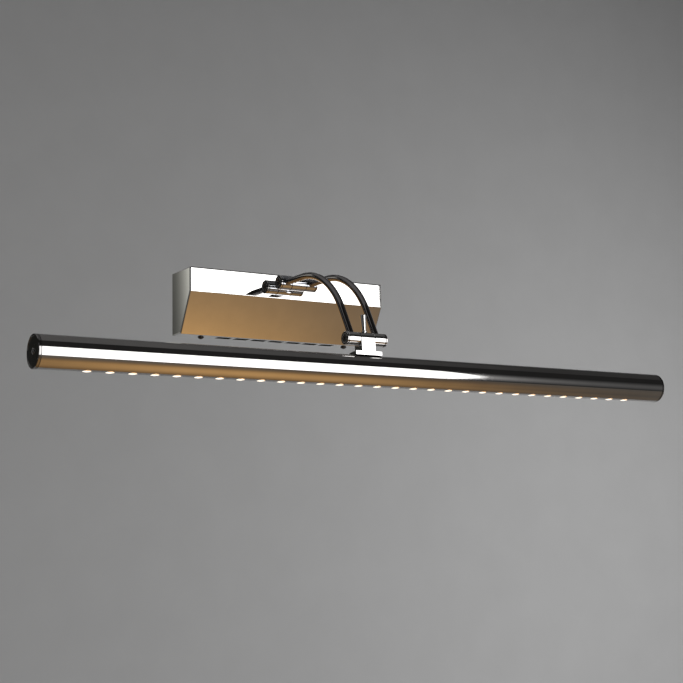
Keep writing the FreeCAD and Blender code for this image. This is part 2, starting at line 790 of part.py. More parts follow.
def make_sleeve(name, radius, length, place):
    """A barrel sleeve with a socket for its arm, which points along the sleeve's own -Y."""
    body = new_body(name)
    section = new_sketch(body, "section", "YZ")
    ring(section, radius)
    ring(section, "sheet.axle_radius + 0.02")
    blank = pad(body, "blank", section, length, symmetric=True)
    doc.recompute()
    rims = [
        f"Edge{number}"
        for number, edge in enumerate(body.Shape.Edges, start=1)
        if is_circle(edge, evaluate(radius))
    ]
    bevel = body.newObject("PartDesign::Chamfer", "rims")
    bevel.Base = (blank, rims)
    bevel.Size = 0.25
    socket = new_sketch(body, "socket", "XZ")
    ring(socket, "sheet.arm_radius + 0.05")
    pocket(body, "socket_cut", socket, 12.0, back=True)
    return finished(body, place)


def make_barrel(kind, centre, hub_half, arm_turn, window_turn):
    """The pieces that turn together on one axle: sleeves, washers, axle and end screws."""
    radius = f"sheet.{kind}_barrel_radius"
    half = size(f"{kind}_barrel_half")
    gauge = size("friction_washer_gauge")
    inner = hub_half + gauge
    outer = half - size("end_disc_gauge") - gauge
    middle = (inner + outer) / 2
    for side, sign in SIDES.items():
        place = FreeCAD.Placement(centre + V(sign * middle, 0, 0), arm_turn)
        make_sleeve(f"{kind}_sleeve_{side}", radius, outer - inner, place)
    washer = make_washer(f"{kind}_washer", radius)
    starts = [hub_half + SEAM, outer + SEAM]
    seats = [at(*(centre + V(start, 0, 0)), "+X") for start in starts]
    seats += [at(*(centre - V(start, 0, 0)), "-X") for start in starts]
    finished(copies(f"{kind}_friction_washers", washer, seats))
    screw = make_end_screw(f"{kind}_end_screw", radius)
    seat = half - size("end_disc_gauge")
    ends = [at(*(centre + V(seat, 0, 0)), "+X"), at(*(centre - V(seat, 0, 0)), "-X")]
    finished(copies(f"{kind}_end_screws", screw, ends))
    make_axle(f"{kind}_axle", half, arm_turn, window_turn, centre)


# ---------------------------------------------------------------- arms
ARM_TURN = "sheet.arm_bend_angle * 1 deg"
BEND_END_ACROSS = f"-sheet.arm_level_run - sheet.arm_bend_radius * sin({ARM_TURN})"
BEND_END_UP = f"-sheet.arm_bend_radius * (1 - cos({ARM_TURN}))"
WALL_END = 4.0
FRONT_END = 3.8


def make_arm(side, sign):
    """A round tube: level from the wall sleeve, one wide bend, then down to the front sleeve."""
    body = new_body(f"arm_{side}")
    path = new_sketch(body, "centre_line", "YZ")
    run_out = size("arm_level_run")
    bend = size("arm_bend_radius")
    enter = V(-run_out, 0, 0)
    middle = V(-run_out - bend * math.sin(BEND / 2), -bend * (1 - math.cos(BEND / 2)), 0)
    leave = V(evaluate(BEND_END_ACROSS), evaluate(BEND_END_UP), 0)
    last = leave - V(math.cos(BEND), math.sin(BEND), 0) * (size("arm_drop_run") - FRONT_END)
    path.addGeometry(Part.LineSegment(V(-WALL_END, 0, 0), enter), False)
    path.addGeometry(Part.Arc(enter, middle, leave), False)
    path.addGeometry(Part.LineSegment(leave, last), False)
    fix_point(path, 0, 1, -WALL_END, 0)
    fix_point(path, 0, 2, "-sheet.arm_level_run", 0)
    fix_point(path, 2, 1, BEND_END_ACROSS, BEND_END_UP)
    drop = f"(sheet.arm_drop_run - {FRONT_END})"
    fix_point(
        path,
        2,
        2,
        f"{BEND_END_ACROSS} - {drop} * cos({ARM_TURN})",
        f"{BEND_END_UP} - {drop} * sin({ARM_TURN})",
    )
    section = new_sketch(body, "section", "XZ", WALL_END)
    ring(section, "sheet.arm_radius")
    ring(section, "sheet.arm_bore_radius")
    doc.recompute()
    tube = body.newObject("PartDesign::AdditivePipe", "tube")
    tube.Profile = section
    tube.Spine = (path, ["Edge1", "Edge2", "Edge3"])
    place = WALL_AXIS + V(sign * size("arm_offset"), 0, 0)
    finished(body, FreeCAD.Placement(place, FreeCAD.Rotation()))


def make_arm_leads():
    """One lead in each arm, from the middle of the wall axle to the middle of the front one."""
    corner = size("arm_level_run") + size("arm_bend_radius") * math.tan(BEND / 2)
    leads = []
    for sign in SIDES.values():
        start = V(sign * 1.2, 0, 0)
        turn_off = V(sign * size("arm_offset"), 0, 0)
        route = [
            (WALL_AXIS + start, 0),
            (WALL_AXIS + turn_off, 1.2),
            (WALL_AXIS + turn_off + V(0, -corner, 0), size("arm_bend_radius")),
            (FRONT_AXIS + turn_off, 1.2),
            (FRONT_AXIS + start, 0),
        ]
        leads.append(lead_shape(route, 0.8))
    finished(solids("arm_leads", leads))


# ---------------------------------------------------------------- lamp bracket and locking pin
SADDLE_SINK = 0.25
BRACKET_SCREW_SPREAD = 9.8
FOOT_TAP_DEPTH = 2.05
PIN_SHANK_RADIUS = 1.5
PIN_FOOT_RADIUS = 1.8
PIN_TOP_RADIUS = 2.6
PIN_LENGTH = 15.2


def make_bracket():
    """The hub, stem and foot in one piece; its own origin is the front axle's middle."""
    body = new_body("lamp_bracket")
    side_view = new_sketch(body, "side_view", "YZ")
    radius = size("front_barrel_radius")
    foot_bottom = "-(sheet.axle_to_tube - sheet.tube_radius)"
    stem_bottom = f"{foot_bottom} + 1"
    low = evaluate(stem_bottom)
    top = Part.ArcOfCircle(Part.Circle(V(), Z_AXIS, radius), 0, math.pi)
    side_view.addGeometry(top, False)
    side_view.addGeometry(Part.LineSegment(V(-radius, 0, 0), V(-radius, low, 0)), False)
    side_view.addGeometry(Part.LineSegment(V(-radius, low, 0), V(radius, low, 0)), False)
    side_view.addGeometry(Part.LineSegment(V(radius, low, 0), V(radius, 0, 0)), False)
    fix_point(side_view, 0, 3, 0, 0)
    hold_radius(side_view, 0, "sheet.front_barrel_radius")
    side_view.addConstraint(Sketcher.Constraint("DistanceY", -1, 1, 0, 1, 0.0))
    side_view.addConstraint(Sketcher.Constraint("DistanceY", -1, 1, 0, 2, 0.0))
    side_view.addConstraint(Sketcher.Constraint("Coincident", 0, 2, 1, 1))
    side_view.addConstraint(Sketcher.Constraint("Coincident", 1, 2, 2, 1))
    side_view.addConstraint(Sketcher.Constraint("Coincident", 2, 2, 3, 1))
    side_view.addConstraint(Sketcher.Constraint("Coincident", 3, 2, 0, 1))
    fix_point(side_view, 2, 1, "-sheet.front_barrel_radius", stem_bottom)
    fix_point(side_view, 2, 2, "sheet.front_barrel_radius", stem_bottom)
    pad(body, "stem", side_view, "sheet.stem_width", symmetric=True)
    foot = new_sketch(body, "foot_view", "YZ")
    outline(
        foot,
        [
            ("-sheet.front_barrel_radius", f"{foot_bottom} - {SADDLE_SINK}"),
            (
                "sheet.bracket_depth - sheet.front_barrel_radius",
                f"{foot_bottom} - {SADDLE_SINK}",
            ),
            (
                "sheet.bracket_depth - sheet.front_barrel_radius",
                f"{foot_bottom} + sheet.foot_back_height",
            ),
            ("-sheet.front_barrel_radius", f"{foot_bottom} + sheet.foot_height"),
        ],
    )
    pad(body, "foot", foot, "sheet.foot_width", symmetric=True)
    saddle = new_sketch(body, "saddle", "YZ")
    ring(saddle, "sheet.tube_radius + 0.02", 0, "-sheet.axle_to_tube")
    pocket(body, "saddle_cut", saddle, "sheet.foot_width + 2", symmetric=True)
    bore = new_sketch(body, "axle_bore", "YZ")
    ring(bore, "sheet.axle_radius + sheet.running_gap")
    pocket(body, "axle_bore_cut", bore, "sheet.stem_width + 2", symmetric=True)
    way = new_sketch(body, "lead_way", "XY")
    ring(way, 1.6)
    pocket(body, "lead_way_cut", way, 20.0)
    pin_hole = new_sketch(body, "pin_hole", "XY")
    ring(pin_hole, PIN_SHANK_RADIUS + size("running_gap"))
    pocket(body, "pin_hole_cut", pin_hole, 10.0, back=True)
    taps = new_sketch(body, "foot_taps", "XY", f"{foot_bottom} - 1")
    for sign in SIDES.values():
        ring(taps, 1.0, sign * BRACKET_SCREW_SPREAD, 0)
    pocket(body, "foot_tap_cut", taps, FOOT_TAP_DEPTH + 1, back=True)
    return finished(body, HEAD)


def make_locking_pin():
    """The tapered thumb pin: its threaded tip bears on the axle, a bead sits at its foot."""
    body = new_body("locking_pin")
    half_view = new_sketch(body, "half_view", "XZ")
    hub_top = size("front_barrel_radius") + 0.05
    tip = size("axle_radius") + 0.1
    top = size("front_barrel_radius") + PIN_LENGTH
    bead = 1.1
    points = [
        (0, tip),
        (PIN_SHANK_RADIUS, tip),
        (PIN_SHANK_RADIUS, hub_top),
        (PIN_FOOT_RADIUS + 0.7, hub_top),
        (PIN_FOOT_RADIUS + 0.7, hub_top + bead),
        (PIN_FOOT_RADIUS, hub_top + bead + 0.5),
        (PIN_TOP_RADIUS, top - 0.5),
        (PIN_TOP_RADIUS - 0.5, top),
        (0, top),
    ]
    outline(half_view, points)
    turned(body, "turned_pin", half_view, "V_Axis")
    return finished(body, HEAD)


# ---------------------------------------------------------------- lamp head
TUBE = HEAD.multiply(FreeCAD.Placement(V(size("tube_offset"), 0, -TUBE_DOWN), FreeCAD.Rotation()))
INNER_RADIUS = size("tube_radius") - size("tube_wall")
RAIL_LENGTH = 600.0
RAIL_FLOOR = -8.4
RAIL_GAUGE = 1.6
RAIL_HALF_WIDTH = 8.55
BOARD_LENGTH = 560.0
BOARD_WIDTH = 12.0
BOARD_GAUGE = 1.0
CHIP = (3.0, 3.0, 0.7)
BOARD_SCREWS = [(gap - 14.5) * size("light_pitch") for gap in (1.5, 10.5, 18.5, 27.5)]
LEAD_HOLE = V(-6.0, 5.0, 0)
SPIGOT_DEPTH = 2.6


def make_lamp_tube():
    """The lamp tube, with a row of round openings below and the bracket's holes on top."""
    body = new_body("lamp_tube")
    section = new_sketch(body, "section", "YZ")
    ring(section, "sheet.tube_radius")
    ring(section, "sheet.tube_radius - sheet.tube_wall")
    pad(body, "tube", section, "sheet.lamp_length - 2 * sheet.cap_thickness", symmetric=True)
    top_holes = new_sketch(body, "top_holes", "XY")
    ring(top_holes, 1.9, "-sheet.tube_offset", 0)
    for sign in SIDES.values():
        ring(top_holes, 1.2, f"-sheet.tube_offset + {sign * BRACKET_SCREW_SPREAD}", 0)
    pocket(body, "top_hole_cut", top_holes, 20.0, back=True)
    light_hole = new_sketch(body, "light_hole", "XY")
    span = "(sheet.light_count - 1) * sheet.light_pitch"
    ring(light_hole, "sheet.light_hole_radius", f"-{span} / 2", 0)
    first = pocket(body, "first_light_hole", light_hole, 20.0)
    row_of(body, "light_holes", first, light_hole, "H_Axis", span, "sheet.light_count")
    return finished(body, TUBE)


def make_end_cap(side, sign):
    """A turned cap: a spigot in the tube, a bevelled rim and a slightly sunk face."""
    body = new_body(f"end_cap_{side}")
    half_view = new_sketch(body, "half_view", "XY")
    spigot = INNER_RADIUS - 0.05
    rim = "sheet.tube_radius"
    outer = "sheet.cap_thickness"
    outline(
        half_view,
        [
            (0, 1.4),
            ("sheet.cap_thickness - 0.4", 1.4),
            ("sheet.cap_thickness - 0.4", f"{rim} - 1.5"),
            (outer, f"{rim} - 1.3"),
            (outer, f"{rim} - 0.35"),
            ("sheet.cap_thickness - 0.35", rim),
            (0, rim),
            (0, spigot),
            (-SPIGOT_DEPTH, spigot),
            (-SPIGOT_DEPTH, spigot - 1.2),
            (0, spigot - 1.2),
        ],
    )
    turned(body, "turned_cap", half_view, "H_Axis")
    facing = FreeCAD.Rotation(Z_AXIS, 0 if sign > 0 else 180)
    local = FreeCAD.Placement(V(sign * TUBE_END, 0, 0), facing)
    return finished(body, TUBE.multiply(local))


def make_carrier_rail():
    """The extruded rail inside the tube: a floor for the board, a web and a screw port."""
    floor = block(
        "rail_floor",
        RAIL_LENGTH,
        2 * RAIL_HALF_WIDTH,
        RAIL_GAUGE,
        (-RAIL_LENGTH / 2, -RAIL_HALF_WIDTH, RAIL_FLOOR),
    )
    web = block("rail_web", RAIL_LENGTH, 1.6, 6.0, (-RAIL_LENGTH / 2, -0.8, RAIL_FLOOR + 1))
    port = cylinder("rail_port", 3.0, RAIL_LENGTH, (-RAIL_LENGTH / 2, 0, 0), "+X")
    whole = fuse("rail_whole", floor, web, port)
    bore = cylinder("rail_bore", 1.25, RAIL_LENGTH + 2, (-RAIL_LENGTH / 2 - 1, 0, 0), "+X")
    lead_way = cylinder("rail_lead_way", 1.5, 4.0, (LEAD_HOLE.x, LEAD_HOLE.y, RAIL_FLOOR - 1))
    taps = [
        cylinder(f"rail_tap_{number}", 1.0, 3.4, (across, 0, RAIL_FLOOR - 1))
        for number, across in enumerate(BOARD_SCREWS)
    ]
    finished(cut("carrier_rail", whole, bore, lead_way, *taps), TUBE)


def make_board():
    """The LED board under the rail, its chips, screws and lenses."""
    under = RAIL_FLOOR - BOARD_GAUGE
    strip = block(
        "board_strip",
        BOARD_LENGTH,
        BOARD_WIDTH,
        BOARD_GAUGE,
        (-BOARD_LENGTH / 2, -BOARD_WIDTH / 2, under),
    )
    holes = [
        cylinder(f"board_hole_{number}", 1.0, 3.0, (across, 0, under - 1))
        for number, across in enumerate(BOARD_SCREWS)
    ]
    finished(cut("led_board", strip, *holes), TUBE)
    screws = [TUBE.multiply(at(across, 0, under, "-Z")) for across in BOARD_SCREWS]
    finished(copies("board_screws", SMALL_SCREW, screws))
    length, width, height = CHIP
    chip = block("chip", length, width, height, (-length / 2, -width / 2, -height))
    lens_foot = cylinder("lens_foot", 4.1, 0.8, along="-Z")
    lens_neck = cylinder("lens_neck", "sheet.light_hole_radius - 0.15", 2.4, along="-Z")
    crown = doc.addObject("Part::Sphere", "lens_crown")
    crown.Radius = 7.0
    put(crown, (0, 0, 7.0 - 3.1))
    stem = cylinder("lens_stem", "sheet.light_hole_radius - 0.15", 3.1, along="-Z")
    dome = doc.addObject("Part::Common", "lens_dome")
    dome.Base = stem
    dome.Tool = crown
    lens = fuse("lens", lens_foot, lens_neck, dome)
    lights = [across - size("tube_offset") for across in LIGHTS]
    chip_seats = [TUBE.multiply(at(across, 0, under)) for across in lights]
    finished(copies("led_chips", chip, chip_seats))
    lens_top = under - height - 0.2
    lens_seats = [TUBE.multiply(at(across, 0, lens_top)) for across in lights]
    finished(copies("led_lenses", lens, lens_seats))


def make_head_hardware():
    """Bracket screws, cap screws and the lead from the front axle to the board."""
    under_skin = INNER_RADIUS - 0.2
    offset = -size("tube_offset")
    seats = [
        TUBE.multiply(at(offset + sign * BRACKET_SCREW_SPREAD, 0, under_skin, "-Z"))
        for sign in SIDES.values()
    ]
    finished(copies("bracket_screws", SMALL_SCREW, seats))
    face = TUBE_END + size("cap_thickness") - 0.4
    ends = [TUBE.multiply(at(face, 0, 0, "+X")), TUBE.multiply(at(-face, 0, 0, "-X"))]
    finished(copies("end_cap_screws", CAP_SCREW, ends))
    board_top = RAIL_FLOOR - TUBE_DOWN + 0.05
    landing = V(LEAD_HOLE.x + size("tube_offset"), LEAD_HOLE.y, 0)
    route = [
        (V(0, 0, -LEAD_RADIUS - 0.2), 0),
        (V(0, 0, -20.0), 3.0),
        (landing + V(0, 0, -22.0), 3.0),
        (landing + V(0, 0, board_top), 0),
    ]
    finished(solids("head_lead", [lead_shape(route, LEAD_RADIUS)]), HEAD)


# ---------------------------------------------------------------- build, check, export
ARM_AT_FRONT = FreeCAD.Rotation(X_AXIS, 180 + size("arm_bend_angle"))
FRONT_WINDOW = FreeCAD.Rotation(X_AXIS, 180 + 12.5)
WALL_WINDOW = FreeCAD.Rotation(X_AXIS, -90)

make_wall_plate()
make_grommet()
make_cover()
make_driver()
make_terminal_block()
make_plate_hardware()
make_box_leads()
make_wall_hub()
make_post_fixing()
make_barrel("wall", WALL_AXIS, size("wall_hub_half"), FreeCAD.Rotation(), WALL_WINDOW)
for arm_side, arm_sign in SIDES.items():
    make_arm(arm_side, arm_sign)
make_barrel("front", FRONT_AXIS, size("stem_width") / 2, ARM_AT_FRONT, FRONT_WINDOW)
make_arm_leads()
make_bracket()
make_locking_pin()
make_lamp_tube()
for cap_side, cap_sign in SIDES.items():
    make_end_cap(cap_side, cap_sign)
make_carrier_rail()
make_board()
make_head_hardware()
doc.recompute()

for obj in doc.Objects:
    if "Invalid" in obj.State or "Error" in obj.State:
        raise RuntimeError(f"{obj.Label} failed: {obj.State}")
for part in parts:
    shape = part.Shape
    if shape.isNull() or not shape.isValid() or not shape.Solids:
        raise RuntimeError(f"{part.Label} has no valid solid")
    shape.exportStep(f"parts/{part.Label}.step")
    print(f"{part.Label:24s} {len(shape.Solids):3d} solids {shape.Volume:10.1f} mm3")
print(len(parts), "nodes")
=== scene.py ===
import math

import bpy
from mathutils import Matrix, Vector

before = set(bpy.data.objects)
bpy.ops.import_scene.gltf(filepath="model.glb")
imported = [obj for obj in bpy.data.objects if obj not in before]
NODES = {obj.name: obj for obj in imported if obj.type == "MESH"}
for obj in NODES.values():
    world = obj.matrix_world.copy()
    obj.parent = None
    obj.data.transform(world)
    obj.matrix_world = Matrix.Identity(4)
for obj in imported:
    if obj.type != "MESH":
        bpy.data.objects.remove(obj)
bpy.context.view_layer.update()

scene = bpy.context.scene
MM = 0.001

# Places and sizes from the CAD part, in metres.
TUBE_AXIS = Vector((0.018, -0.1616659, -0.0736066))
LIGHT_PITCH = 0.0182
TUBE_HALF = 0.303
BOX_WIDTH, BOX_HEIGHT, BOX_DEPTH = 0.200, 0.0572, 0.036
BOX_FOOT_DEPTH, FACET_HEIGHT = 0.0164, 0.0217
LENS_CORE_RADIUS, LENS_RIM_RADIUS = 0.00342, 0.00375
CAP_SEAM_START, CAP_SEAM_FULL = 0.6 * MM, 0.45 * MM
SHADE_START_DEPTH, SHADE_FULL_DEPTH = 0.65 * MM, 0.8 * MM


# ---------------------------------------------------------------- camera
# The camera fitted to the photograph: focal length in pixels, film width in millimetres.
PHOTO_WIDTH, FOCAL_PIXELS, SENSOR_WIDTH = 683, 1445.989, 36
CAMERA_PLACE = (-0.6450116, -1.1559172, -0.2222274)
YAW, PITCH, ROLL = math.radians(31.9847), math.radians(8.3457), math.radians(-1.055)


def make_camera():
    """The camera of the photograph: below the lamp, to its left, looking up."""
    ahead = Vector((math.sin(YAW) * math.cos(PITCH), math.cos(YAW) * math.cos(PITCH), math.sin(PITCH)))
    level = Vector((math.cos(YAW), -math.sin(YAW), 0))
    upright = level.cross(ahead)
    right = math.cos(ROLL) * level + math.sin(ROLL) * upright
    up = -math.sin(ROLL) * level + math.cos(ROLL) * upright
    data = bpy.data.cameras.new("camera")
    data.sensor_width = SENSOR_WIDTH
    data.lens = FOCAL_PIXELS / PHOTO_WIDTH * SENSOR_WIDTH
    data.clip_start = 0.02
    data.clip_end = 60
    camera = bpy.data.objects.new("camera", data)
    turn = Matrix((right, up, -ahead)).transposed().to_4x4()
    camera.matrix_world = Matrix.Translation(CAMERA_PLACE) @ turn
    scene.collection.objects.link(camera)
    scene.camera = camera


make_camera()
scene.view_settings.view_transform = "Standard"
scene.view_settings.look = "None"


# ---------------------------------------------------------------- material building helpers
class Nodes:
    """A material's node tree, with short calls for the nodes used here."""

    def __init__(self, name):
        self.material = bpy.data.materials.new(name)
        self.material.use_nodes = True
        self.tree = self.material.node_tree
        self.shader = self.tree.nodes["Principled BSDF"]

    def add(self, kind, **settings):
        node = self.tree.nodes.new(kind)
        for key, value in settings.items():
            setattr(node, key, value)
        return node

    def feed(self, target, value):
        if isinstance(value, bpy.types.NodeSocket):
            self.tree.links.new(value, target)
        else:
            target.default_value = value

    def place(self, scale=(1, 1, 1), shift=(0, 0, 0)):
        """Object coordinates, scaled: the nodes' own frame, in metres."""
        coordinates = self.add("ShaderNodeTexCoord")
        mapping = self.add("ShaderNodeMapping")
        mapping.inputs["Scale"].default_value = scale
        mapping.inputs["Location"].default_value = shift
        self.tree.links.new(coordinates.outputs["Object"], mapping.inputs["Vector"])
        return mapping.outputs["Vector"]

    def noise(self, place, scale, detail=3.0, rough=0.5):
        node = self.add("ShaderNodeTexNoise")
        self.feed(node.inputs["Vector"], place)
        node.inputs["Scale"].default_value = scale
        node.inputs["Detail"].default_value = detail
        node.inputs["Roughness"].default_value = rough
        return node.outputs["Fac"]

    def ranged(self, value, low, high, to_low=0.0, to_high=1.0):
        node = self.add("ShaderNodeMapRange")
        node.clamp = True
        for key, number in (("From Min", low), ("From Max", high), ("To Min", to_low), ("To Max", to_high)):
            node.inputs[key].default_value = number
        self.feed(node.inputs["Value"], value)
        return node.outputs["Result"]

    def maths(self, operation, first, second=0.0, third=None):
        node = self.add("ShaderNodeMath", operation=operation)
        self.feed(node.inputs[0], first)
        self.feed(node.inputs[1], second)
        if third is not None:
            self.feed(node.inputs[2], third)
        return node.outputs[0]

    def blend(self, share, first, second):
        """A colour mix."""
        node = self.add("ShaderNodeMix", data_type="RGBA")
        self.feed(node.inputs[0], share)
        self.feed(node.inputs[6], (*first, 1) if isinstance(first, tuple) else first)
        self.feed(node.inputs[7], (*second, 1) if isinstance(second, tuple) else second)
        return node.outputs[2]

    def bump(self, height, strength, distance):
        node = self.add("ShaderNodeBump")
        node.inputs["Strength"].default_value = strength
        node.inputs["Distance"].default_value = distance
        self.feed(node.inputs["Height"], height)
        self.tree.links.new(node.outputs["Normal"], self.shader.inputs["Normal"])

    def split(self, place):
        node = self.add("ShaderNodeSeparateXYZ")
        self.feed(node.inputs[0], place)
        return node.outputs


def plated(name, bright, dull, low_rough, high_rough, along=None):
    """Chrome or nickel plate: smudges in colour and gloss, fine polishing lines."""
    return plated_nodes(name, bright, dull, low_rough, high_rough, along).material


def plated_nodes(name, bright, dull, low_rough, high_rough, along=None):
    m = Nodes(name)
    m.shader.inputs["Metallic"].default_value = 1.0
    smudge = m.noise(m.place(), 38.0, 4.0, 0.6)
    m.feed(m.shader.inputs["Base Color"], m.blend(m.ranged(smudge, 0.35, 0.7), bright, dull))
    stretch = along or (1, 1, 1)
    lines = m.noise(m.place(stretch), 900.0, 4.0, 0.7)
    haze = m.maths("MULTIPLY", m.ranged(smudge, 0.4, 0.75), m.ranged(lines, 0.35, 0.7, 0.4, 1.0))
    m.feed(m.shader.inputs["Roughness"], m.ranged(haze, 0.0, 1.0, low_rough, high_rough))
    m.bump(lines, 0.02, 0.00002)
    return m


def overlay(m, share, colour, rough):
    """Covers part of a plated look with a duller finish and another colour, where the share is 1: painted
    shade on the box's inner faces, a dark joint line on the tube.
    """
    colours = m.shader.inputs["Base Color"]
    m.feed(colours, m.blend(share, colours.links[0].from_socket, colour))
    gloss = m.shader.inputs["Roughness"]
    bright = m.maths("MULTIPLY", gloss.links[0].from_socket, m.maths("SUBTRACT", 1.0, share))
    m.feed(gloss, m.maths("MULTIPLY_ADD", share, rough, bright))


# ---------------------------------------------------------------- materials
def cover_material():
    """The box: mirror plate outside; its inner faces and cut edges are dulled like bare steel and painted
    nearly black as shade.
    """
    m = plated_nodes("box_chrome_look", (0.88, 0.88, 0.87), (0.82, 0.82, 0.81), 0.015, 0.05, (0.2, 1, 1))
    x, y, z = m.split(m.place())[:3]
    end_depth = m.maths("SUBTRACT", BOX_WIDTH / 2, m.maths("ABSOLUTE", x))
    flat_depth = m.maths("SUBTRACT", BOX_HEIGHT / 2, m.maths("ABSOLUTE", z))
    front_depth = m.maths("ADD", y, BOX_DEPTH)
    lean = math.atan2(BOX_DEPTH - BOX_FOOT_DEPTH, BOX_HEIGHT - FACET_HEIGHT)
    along = m.maths("MULTIPLY", m.maths("ADD", y, BOX_FOOT_DEPTH), math.cos(lean))
    facet_depth = m.maths("MULTIPLY_ADD", m.maths("ADD", z, BOX_HEIGHT / 2), math.sin(lean), along)
    depth = end_depth
    for other in (flat_depth, front_depth, facet_depth):
        depth = m.maths("MINIMUM", depth, other)
    # Painted shade: inner faces and cut edges are painted nearly black (0.02) where shade falls inside the
    # box, and dulled like bare steel.
    overlay(m, m.ranged(depth, SHADE_START_DEPTH, SHADE_FULL_DEPTH), (0.02, 0.02, 0.021), 0.5)
    return m.material


def tube_material():
    """The tube: bright plate, with a dark line where each end cap meets it."""
    m = plated_nodes("tube_chrome_look", (0.57, 0.56, 0.555), (0.52, 0.51, 0.505), 0.03, 0.10, (0.03, 1, 1))
    x = m.split(m.place((1, 1, 1), (-TUBE_AXIS.x, 0, 0)))[0]
    from_middle = m.maths("ABSOLUTE", x)
    seam = m.ranged(from_middle, TUBE_HALF - CAP_SEAM_START, TUBE_HALF - CAP_SEAM_FULL)
    overlay(m, seam, (0.04, 0.04, 0.042), 0.4)
    return m.material


BOX_CHROME = cover_material()
TUBE_CHROME = tube_material()
ARM_CHROME = plated("arm_chrome_look", (0.30, 0.29, 0.295), (0.25, 0.24, 0.245), 0.03, 0.09)
TURNED = (1, 0.15, 0.15)
WALL_BARREL_CHROME = plated("wall_barrel_look", (0.58, 0.60, 0.65), (0.50, 0.52, 0.56), 0.03, 0.08, TURNED)
BARREL_CHROME = plated("barrel_chrome_look", (0.86, 0.86, 0.86), (0.78, 0.78, 0.78), 0.02, 0.06, TURNED)
DISC_CHROME = plated("disc_look", (0.55, 0.54, 0.54), (0.46, 0.45, 0.45), 0.06, 0.16)
CAP_CHROME = plated("cap_look", (0.36, 0.355, 0.355), (0.30, 0.295, 0.295), 0.04, 0.12)
ZINC = plated("zinc_look", (0.62, 0.63, 0.64), (0.45, 0.46, 0.48), 0.25, 0.45)
SCREW_BLACK = plated("screw_black_look", (0.06, 0.06, 0.062), (0.035, 0.035, 0.037), 0.3, 0.45)
SCREW = plated("screw_look", (0.62, 0.62, 0.61), (0.48, 0.48, 0.47), 0.12, 0.3)
BRASS = plated("brass_look", (0.80, 0.62, 0.30), (0.66, 0.48, 0.22), 0.2, 0.38)
ALUMINIUM = plated("aluminium_look", (0.75, 0.76, 0.77), (0.62, 0.63, 0.65), 0.25, 0.42, (0.02, 1, 1))


def moulded(name, colour, darker, rough, grain):
    """Plastic, rubber or paint with a fine moulded grain and slight soiling."""
    m = Nodes(name)
    spots = m.noise(m.place(), 120.0, 5.0, 0.6)
    m.feed(m.shader.inputs["Base Color"], m.blend(m.ranged(spots, 0.35, 0.75), colour, darker))
    fine = m.noise(m.place(), grain, 2.0, 0.5)
    m.feed(m.shader.inputs["Roughness"], m.ranged(fine, 0.3, 0.7, rough - 0.06, rough + 0.08))
    m.bump(fine, 0.12, 0.00006)
    return m.material


RUBBER = moulded("rubber_look", (0.028, 0.028, 0.029), (0.045, 0.044, 0.042), 0.62, 2600.0)
NYLON = moulded("nylon_look", (0.02, 0.02, 0.021), (0.035, 0.034, 0.033), 0.45, 3200.0)
CASE_WHITE = moulded("case_look", (0.80, 0.80, 0.77), (0.70, 0.70, 0.67), 0.45, 1800.0)
TERMINAL = moulded("terminal_look", (0.76, 0.74, 0.66), (0.68, 0.66, 0.58), 0.4, 1500.0)
LEAD = moulded("lead_look", (0.62, 0.62, 0.62), (0.5, 0.5, 0.5), 0.32, 1500.0)
BOARD = moulded("board_look", (0.84, 0.84, 0.81), (0.76, 0.76, 0.72), 0.35, 2400.0)


def earth_material():
    """Green insulation with a yellow stripe along each side."""
    m = Nodes("earth_look")
    x, _, z = m.split(m.place())[:3]
    wave = m.maths("SINE", m.maths("MULTIPLY", m.maths("ADD", x, z), 3400.0))
    green, yellow = (0.05, 0.32, 0.06), (0.8, 0.7, 0.05)
    m.feed(m.shader.inputs["Base Color"], m.blend(m.ranged(wave, -0.1, 0.1), green, yellow))
    grain = m.noise(m.place(), 1500.0)
    m.feed(m.shader.inputs["Roughness"], m.ranged(grain, 0.3, 0.7, 0.28, 0.42))
    m.bump(grain, 0.1, 0.00005)
    return m.material


EARTH = earth_material()


WARM_WHITE, AMBER_GLASS = (1.0, 0.93, 0.80), (0.95, 0.8, 0.6)


def light_material(name, core, rim, strength):
    """A lit dome: white-hot in its middle and warmer at its rim, lens by lens along the row."""
    m = Nodes(name)
    x, y = m.split(m.place((1, 1, 1), (-TUBE_AXIS.x, -TUBE_AXIS.y, 0)))[:2]
    phase = m.maths("FRACT", m.maths("DIVIDE", x, LIGHT_PITCH))
    from_middle = m.maths("MULTIPLY", m.maths("SUBTRACT", phase, 0.5), LIGHT_PITCH)
    across = m.maths("MULTIPLY", from_middle, from_middle)
    reach = m.maths("SQRT", m.maths("MULTIPLY_ADD", y, y, across))
    grain = m.noise(m.place(), 1800.0, 2.0)
    uneven = m.ranged(grain, 0.3, 0.7, -0.1 * MM, 0.1 * MM)
    edge = m.ranged(m.maths("ADD", reach, uneven), LENS_CORE_RADIUS, LENS_RIM_RADIUS)
    m.feed(m.shader.inputs["Base Color"], m.blend(edge, WARM_WHITE, AMBER_GLASS))
    m.feed(m.shader.inputs["Emission Color"], m.blend(edge, core, rim))
    m.feed(m.shader.inputs["Emission Strength"], m.ranged(edge, 0.0, 1.0, strength, strength * 0.4))
    m.feed(m.shader.inputs["Roughness"], m.ranged(grain, 0.3, 0.7, 0.1, 0.22))
    return m.material


LENS = light_material("lens_look", WARM_WHITE, (1.0, 0.50, 0.16), 1.25)
CHIP = light_material("chip_look", (1.0, 0.85, 0.55), (1.0, 0.6, 0.2), 12.0)

